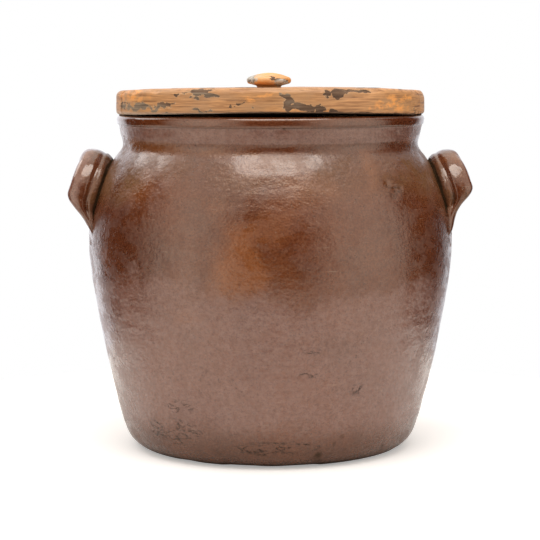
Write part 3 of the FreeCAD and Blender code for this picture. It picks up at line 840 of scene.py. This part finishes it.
def salt_glaze():
    """Reddish-brown salt glaze: a glossy skin with an orange-peel surface and a thin grey bloom, which
    with a pale ash also paints in the table's reflection where it is heaviest.
    """
    f = Finish("salt_glaze_finish")
    clouds = f.noise(0.060, (1, 1, 1.3), detail=7.0, rough=0.62)
    flecks = f.noise(0.0042, detail=4.0, rough=0.6, offset=3.0)
    runs = f.noise(0.014, (1, 1, 10), detail=4.0, offset=7.0)
    colour = f.mix(f.ramp(clouds, 0.30, 0.70), GLAZE_DEEP, GLAZE_WARM)
    colour = f.mix(f.painted("ember"), colour, GLAZE_EMBER)
    # bloom and pale ash: a real grey bloom, and where it is heaviest (flare, lower body, left handle's
    # crest) a painted reflection of the pale table
    bloom = f.math("ADD", f.painted("bloom"), f.ramp(flecks, 0.3, 0.7, -0.4, 0.4))
    bloom = f.math("ADD", bloom, f.ramp(runs, 0.3, 0.7, -0.2, 0.2))
    colour = f.mix(f.ramp(bloom, 0.2, 2.6), colour, GLAZE_BLOOM_AND_REFLECTION)
    ash_and_painted_reflection = f.math("ADD", f.painted("bloom"), f.ramp(flecks, 0.3, 0.7, -0.12, 0.12))
    ash_and_painted_reflection = f.ramp(ash_and_painted_reflection, 0.5, 1.15)
    colour = f.mix(ash_and_painted_reflection, colour, tone(166, 131, 124), 0.34)
    dusty = f.math("MULTIPLY", f.painted("dust"), f.ramp(flecks, 0.35, 0.65, 0.5, 1.0))
    colour = f.mix(dusty, colour, tone(106, 78, 50), 0.8)
    colour = f.mix(f.painted("ochre"), colour, tone(128, 74, 34), 0.7)
    specks = f.ramp(f.cells(0.0036, offset=2.0), 0.22, 0.08)
    specks = f.math("MULTIPLY", specks, f.ramp(f.noise(0.02, offset=5.0), 0.45, 0.62))
    colour = f.mix(specks, colour, tone(44, 26, 18), 0.5)
    grit = f.noise(0.0015, detail=3.0, rough=0.6, offset=12.0)
    colour = f.mix(f.ramp(grit, 0.42, 0.66, 0.0, 0.22), colour, tone(140, 100, 72))
    colour = f.mix(f.ramp(grit, 0.52, 0.34, 0.0, 0.36), colour, tone(58, 28, 13))
    wander = f.noise(0.030, (1, 1, 0.30), detail=9.0, rough=0.72, offset=14.0, twist=0.6)
    wander = f.math("SUBTRACT", wander, 0.5)
    cracks = f.ramp(f.math("ABSOLUTE", wander), 0.012, 0.003)
    cracks = f.math("MULTIPLY", cracks, f.painted("cracked"))
    # dirt and painted shade: the grime attribute darkens the creases, the foot and the handles' crevices
    # and grooves, and dulls their shine
    dirt_and_shade = f.math("ADD", f.painted("grime"), f.ramp(flecks, 0.4, 0.8, -0.1, 0.1))
    dirt_and_shade = f.math("ADD", dirt_and_shade, f.math("MULTIPLY", cracks, 1.3))
    colour = f.mix(f.ramp(dirt_and_shade, 0.1, 1.0, 0.0, 0.85), colour, tone(50, 42, 28))
    scuffs = f.ramp(f.noise(0.0016, (9, 9, 0.8), detail=2.0, offset=9.0), 0.68, 0.78)
    colour = f.mix(scuffs, colour, tone(176, 150, 130), 0.3)
    worn = f.ramp(f.noise(0.013, (1.6, 1.6, 1), detail=6.0, rough=0.62, offset=6.0), 0.40, 0.62)
    gloss = f.painted("gloss")
    roughness = f.either(gloss, f.ramp(worn, 0.0, 1.0, 0.17, 0.30), 0.13)
    roughness = f.math("ADD", roughness, f.math("MULTIPLY", dusty, 0.25))
    roughness = f.math("ADD", roughness, f.ramp(dirt_and_shade, 0.2, 1.0, 0.0, 0.35))
    calm = f.either(gloss, 1.0, 0.3)
    peel = f.noise(0.0034, (1.3, 1.3, 1), detail=3.0, rough=0.55, offset=1.0)
    peel = f.math("MULTIPLY", peel, calm)
    ripples = f.noise(0.0065, (2, 2, 1), detail=3.0, offset=4.0)
    ripples = f.math("MULTIPLY", ripples, calm)
    normal = f.bump(peel, 0.00085)
    normal = f.bump(ripples, 0.00055, normal)
    normal = f.bump(specks, -0.00030, normal)
    normal = f.bump(cracks, -0.00050, normal)
    clean = f.math("MULTIPLY", f.ramp(dusty, 0.0, 0.9, 1.0, 0.12), f.ramp(ash_and_painted_reflection, 0.0, 1.0, 1.0, 0.90))
    shine = f.math("MULTIPLY", f.ramp(dirt_and_shade, 0.2, 0.9, 0.52, 0.15), clean)
    coat = f.math("MULTIPLY", f.ramp(dirt_and_shade, 0.1, 0.9, 0.75, 0.05), clean)
    coat_roughness = f.either(gloss, f.ramp(worn, 0.0, 1.0, 0.12, 0.40), 0.06)
    extra = {"IOR": 1.6, "Specular_IOR_Level": shine, "Specular_Tint": (1.0, 0.80, 0.62, 1.0),
             "Coat_IOR": 1.6, "Coat_Weight": coat, "Coat_Roughness": coat_roughness}
    return f.surface(colour, roughness, normal, **extra)


def worn_paint(name, light, deep, orange, faded, bare=(tone(104, 86, 70), tone(150, 130, 108))):
    """Old oil paint on wood: grain showing through, peeled in flakes down to dark and grey wood."""
    f = Finish(name)
    rim = f.painted("rim")
    grain = f.either(rim, f.noise(0.0030, (26, 1, 0.8), detail=5.0, twist=0.3),
                     f.noise(0.0022, (14, 14, 0.8), detail=5.0, twist=0.5, offset=4.0))
    broad = f.noise(0.022, (1.6, 1.2, 0.55), detail=4.0, offset=2.0)
    flakes = f.noise(0.0075, (1.7, 1.7, 0.8), detail=6.0, rough=0.62, offset=5.0)
    edge = f.math("ADD", f.painted("peel"), f.ramp(flakes, 0.25, 0.75, -0.40, 0.40))
    gone = f.ramp(edge, 0.58, 0.63)
    coat = f.mix(f.ramp(grain, 0.30, 0.64), deep, light)
    coat = f.mix(f.ramp(broad, 0.42, 0.66, 0.0, 0.7), coat, faded)
    coat = f.mix(f.math("MULTIPLY", f.ramp(flakes, 0.42, 0.60), f.painted("orange")), coat, orange)
    wood = f.mix(f.ramp(grain, 0.38, 0.62), tone(84, 60, 42), tone(118, 90, 68))
    wood = f.mix(f.ramp(broad, 0.56, 0.68), wood, tone(120, 100, 82))
    wood = f.mix(f.painted("grey"), wood, f.mix(f.ramp(grain, 0.35, 0.6), bare[0], bare[1]))
    coat = f.mix(f.ramp(edge, 0.50, 0.57), coat, tone(226, 200, 164), 0.35)
    colour = f.mix(gone, coat, wood)
    colour = f.mix(f.painted("pale"), colour, tone(214, 192, 170), 0.6)
    # the grime attribute: dirt, and painted shade on the knob's stem under its head
    dirt_and_shade = f.math("ADD", f.painted("grime"), f.ramp(grain, 0.3, 0.45, 0.2, -0.1))
    colour = f.mix(f.ramp(dirt_and_shade, 0.3, 1.2, 0.0, 0.7), colour, tone(84, 60, 44))
    cracks = f.either(rim, f.noise(0.0016, (40, 1, 1), detail=2.0, offset=8.0),
                      f.noise(0.0016, (24, 24, 1), detail=2.0, offset=8.0))
    cracks = f.ramp(cracks, 0.38, 0.28)
    colour = f.mix(cracks, colour, tone(104, 70, 46), 0.5)
    roughness = f.ramp(gone, 0.0, 1.0, 0.50, 0.82)
    normal = f.bump(f.math("SUBTRACT", 1.0, gone), 0.00040)
    normal = f.bump(grain, 0.00030, normal)
    normal = f.bump(cracks, -0.00025, normal)
    return f.surface(colour, roughness, normal)


def sawn_wood():
    """Bare pine that damp has darkened, with its grain along Y."""
    f = Finish("bare_wood_finish")
    grain = f.noise(0.0032, (1, 30, 0.8), detail=5.0, twist=0.4)
    broad = f.noise(0.025, (1, 3, 1), detail=3.0, offset=2.0)
    colour = f.mix(f.ramp(grain, 0.35, 0.65), tone(128, 92, 62), tone(176, 138, 100))
    colour = f.mix(f.ramp(broad, 0.4, 0.65, 0.0, 0.5), colour, tone(122, 108, 94))
    colour = f.mix(f.painted("grime"), colour, tone(84, 62, 46), 0.7)
    normal = f.bump(grain, 0.00030)
    return f.surface(colour, 0.8, normal)


def rusty_steel():
    """Plain steel screws gone brown with rust."""
    f = Finish("screw_steel_finish")
    patches = f.ramp(f.noise(0.0030, detail=5.0), 0.42, 0.60)
    colour = f.mix(patches, tone(120, 116, 110), tone(104, 58, 34))
    roughness = f.ramp(patches, 0.0, 1.0, 0.42, 0.85)
    normal = f.bump(f.noise(0.0008, detail=3.0, offset=3.0), 0.00010)
    metal = f.ramp(patches, 0.0, 1.0, 0.95, 0.1)
    return f.surface(colour, roughness, normal, Metallic=metal)


def fired_clay():
    """Unglazed buff stoneware with iron specks and a flashed skin."""
    f = Finish("weight_stoneware_finish")
    flash = f.noise(0.030, detail=5.0)
    colour = f.mix(f.ramp(flash, 0.35, 0.65), tone(178, 150, 118), tone(158, 118, 86))
    specks = f.ramp(f.cells(0.0040, offset=3.0), 0.18, 0.08)
    colour = f.mix(specks, colour, tone(70, 48, 36), 0.7)
    colour = f.mix(f.painted("grime"), colour, tone(96, 74, 58), 0.6)
    normal = f.bump(f.noise(0.0012, detail=4.0, offset=5.0), 0.00018)
    return f.surface(colour, 0.72, normal)


# ---------------- studio

CAMERA_PLACE = Vector((-0.0006, -1.7, 0.3475))
CAMERA_TARGET = Vector((-0.0006, 0, 0.1581))
CAMERA_LENS = 124.8
CAMERA_ROLL = math.radians(-0.10)
WARM_LIGHT = (1.00, 0.93, 0.84)
COOL_LIGHT = (0.97, 0.97, 1.02)
SKY = [  # azimuth that a level ray leaves towards, brightness there
    (-180, 1.10), (-143, 1.15), (-134, 0.02), (-90, 0.02), (-72, 1.15), (-58, 1.45), (-42, 1.45),
    (-27, 0.85), (-16, 0.08), (17, 0.08), (28, 0.45), (40, 1.15), (54, 1.40), (76, 1.30),
    (90, 0.85), (102, 0.02), (140, 0.02), (152, 0.80), (180, 0.95),
]
OVERHEAD = 1.15                # brightness straight above
UNDERFOOT = 0.85               # brightness below the horizon, past the table
TABLE_RADIUS = 0.44
LIGHTS = {  # place, aim, size and power in watts
    "overhead": ((0.085, -0.44, 1.42), (0.0, -0.05, 0.25), (1.15, 0.85), 9.0),
    "overhead_left": ((-1.05, 0.60, 1.20), (0.0, 0.0, 0.28), (0.85, 0.85), 4.0),
}


def camera():
    """The camera at the photograph's angle, from just above the knob's height."""
    data = bpy.data.cameras.new("camera")
    data.lens = CAMERA_LENS
    data.sensor_width = 36
    made = bpy.data.objects.new("camera", data)
    bpy.context.scene.collection.objects.link(made)
    aim = (CAMERA_TARGET - CAMERA_PLACE).to_track_quat("-Z", "Y")
    made.location = CAMERA_PLACE
    made.rotation_mode = "QUATERNION"
    made.rotation_quaternion = aim @ Quaternion((0, 0, 1), CAMERA_ROLL)
    bpy.context.scene.camera = made


def sky():
    """A pale studio: bright behind the crock, softly lit at both sides, darker at the front.

    The camera sees plain white; only light and reflections come from the studio."""
    world = bpy.data.worlds.new("studio")
    bpy.context.scene.world = world
    world.use_nodes = True
    w = Nodes(world.node_tree)
    parts = w.node("SeparateXYZ", None, {0: w.node("TexCoord").outputs["Generated"]}).outputs
    turn = w.math("ARCTAN2", parts["X"], w.math("MULTIPLY", parts["Y"], -1.0))
    limits = {"Value": turn, "From Min": -math.pi, "From Max": math.pi}
    bands = w.node("ValToRGB", None, {0: w.node("MapRange", None, limits).outputs[0]})
    stops = bands.color_ramp.elements
    while len(stops) < len(SKY):
        stops.new(0.5)
    brightest = max(value for _, value in SKY)
    for stop, (azimuth, value) in zip(stops, SKY):
        stop.position = (azimuth + 180) / 360
        tint = COOL_LIGHT if abs(azimuth) > 130 else WARM_LIGHT
        stop.color = tuple(value / brightest * part for part in tint) + (1,)
    above = tuple(OVERHEAD / brightest * part for part in WARM_LIGHT) + (1,)
    below = tuple(UNDERFOOT / brightest * part for part in WARM_LIGHT) + (1,)
    colour = w.mix(w.ramp(parts["Z"], 0.42, 0.75), bands.outputs[0], above)
    colour = w.mix(w.ramp(parts["Z"], -0.30, -0.40), colour, below)
    lit = w.node("Background", None, {"Color": colour, "Strength": brightest}).outputs[0]
    seen = w.node("Background", None, {"Color": (1, 1, 1, 1), "Strength": 1.0}).outputs[0]
    camera_ray = w.node("LightPath").outputs["Is Camera Ray"]
    mixed = w.node("MixShader", None, {0: camera_ray, 1: lit, 2: seen}).outputs[0]
    w.node("OutputWorld", None, {"Surface": mixed})


def soft_light(name, place, aim, size, power):
    """A large oval lamp, which the camera doesn't see."""
    data = bpy.data.lights.new(name, "AREA")
    data.shape = "ELLIPSE"
    data.size, data.size_y = size
    data.energy = power
    made = bpy.data.objects.new(name, data)
    bpy.context.scene.collection.objects.link(made)
    made.location = place
    made.rotation_euler = (Vector(aim) - Vector(place)).to_track_quat("-Z", "Y").to_euler()
    made.visible_camera = False


def floor():
    """A plain pale table top, whose edge is lost against the white studio."""
    form = bmesh.new()
    bmesh.ops.create_circle(form, cap_ends=True, segments=256, radius=TABLE_RADIUS)
    mesh = bpy.data.meshes.new("table")
    form.to_mesh(mesh)
    form.free()
    made = bpy.data.objects.new("table", mesh)
    bpy.context.scene.collection.objects.link(made)
    f = Finish("table_finish")
    mottle = f.noise(0.4, detail=2.0)
    colour = f.mix(f.ramp(mottle, 0.3, 0.7), tone(238, 237, 236), tone(242, 241, 240))
    camera_ray = f.node("LightPath").outputs["Is Camera Ray"]
    strength = f.math("MULTIPLY", camera_ray, 0.34)
    glow = {"Emission_Color": tone(255, 253, 251), "Emission_Strength": strength}
    mesh.materials.append(f.surface(colour, 0.9, f.bump(mottle, 0.0001), **glow))


def screws(finish):
    """Gives the screws and the washer, which keep their CAD shapes, their finish."""
    for node in ("batten_screws_left", "batten_screws_right", "knob_screw", "knob_washer"):
        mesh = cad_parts[node].data
        mesh.materials.clear()
        mesh.materials.append(finish)


def main():
    """Makes the crock, then the studio round it."""
    glaze = salt_glaze()
    crock(glaze)
    handle("left", glaze)
    handle("right", glaze)
    board = worn_paint("painted_board_finish", tone(208, 152, 100), tone(150, 102, 62),
                       tone(246, 168, 92), tone(182, 138, 98))
    for seed, name in enumerate(("lid_board_front", "lid_board_middle", "lid_board_back")):
        lid_board(name, 100 + 12 * seed, board)
    knob_paint = worn_paint("knob_paint_finish", tone(240, 182, 112), tone(206, 142, 76),
                            tone(224, 152, 84), tone(214, 180, 146),
                            (tone(112, 106, 98), tone(206, 202, 194)))
    knob(knob_paint)
    wood = sawn_wood()
    batten("lid_batten_left", 141, wood)
    batten("lid_batten_right", 151, wood)
    clay = fired_clay()
    weight("weight_left", 161, clay)
    weight("weight_right", 171, clay)
    screws(rusty_steel())
    camera()
    sky()
    floor()
    for name, (place, aim, size, power) in LIGHTS.items():
        soft_light(name, place, aim, size, power)
    bpy.context.scene.view_settings.view_transform = "Standard"


main()
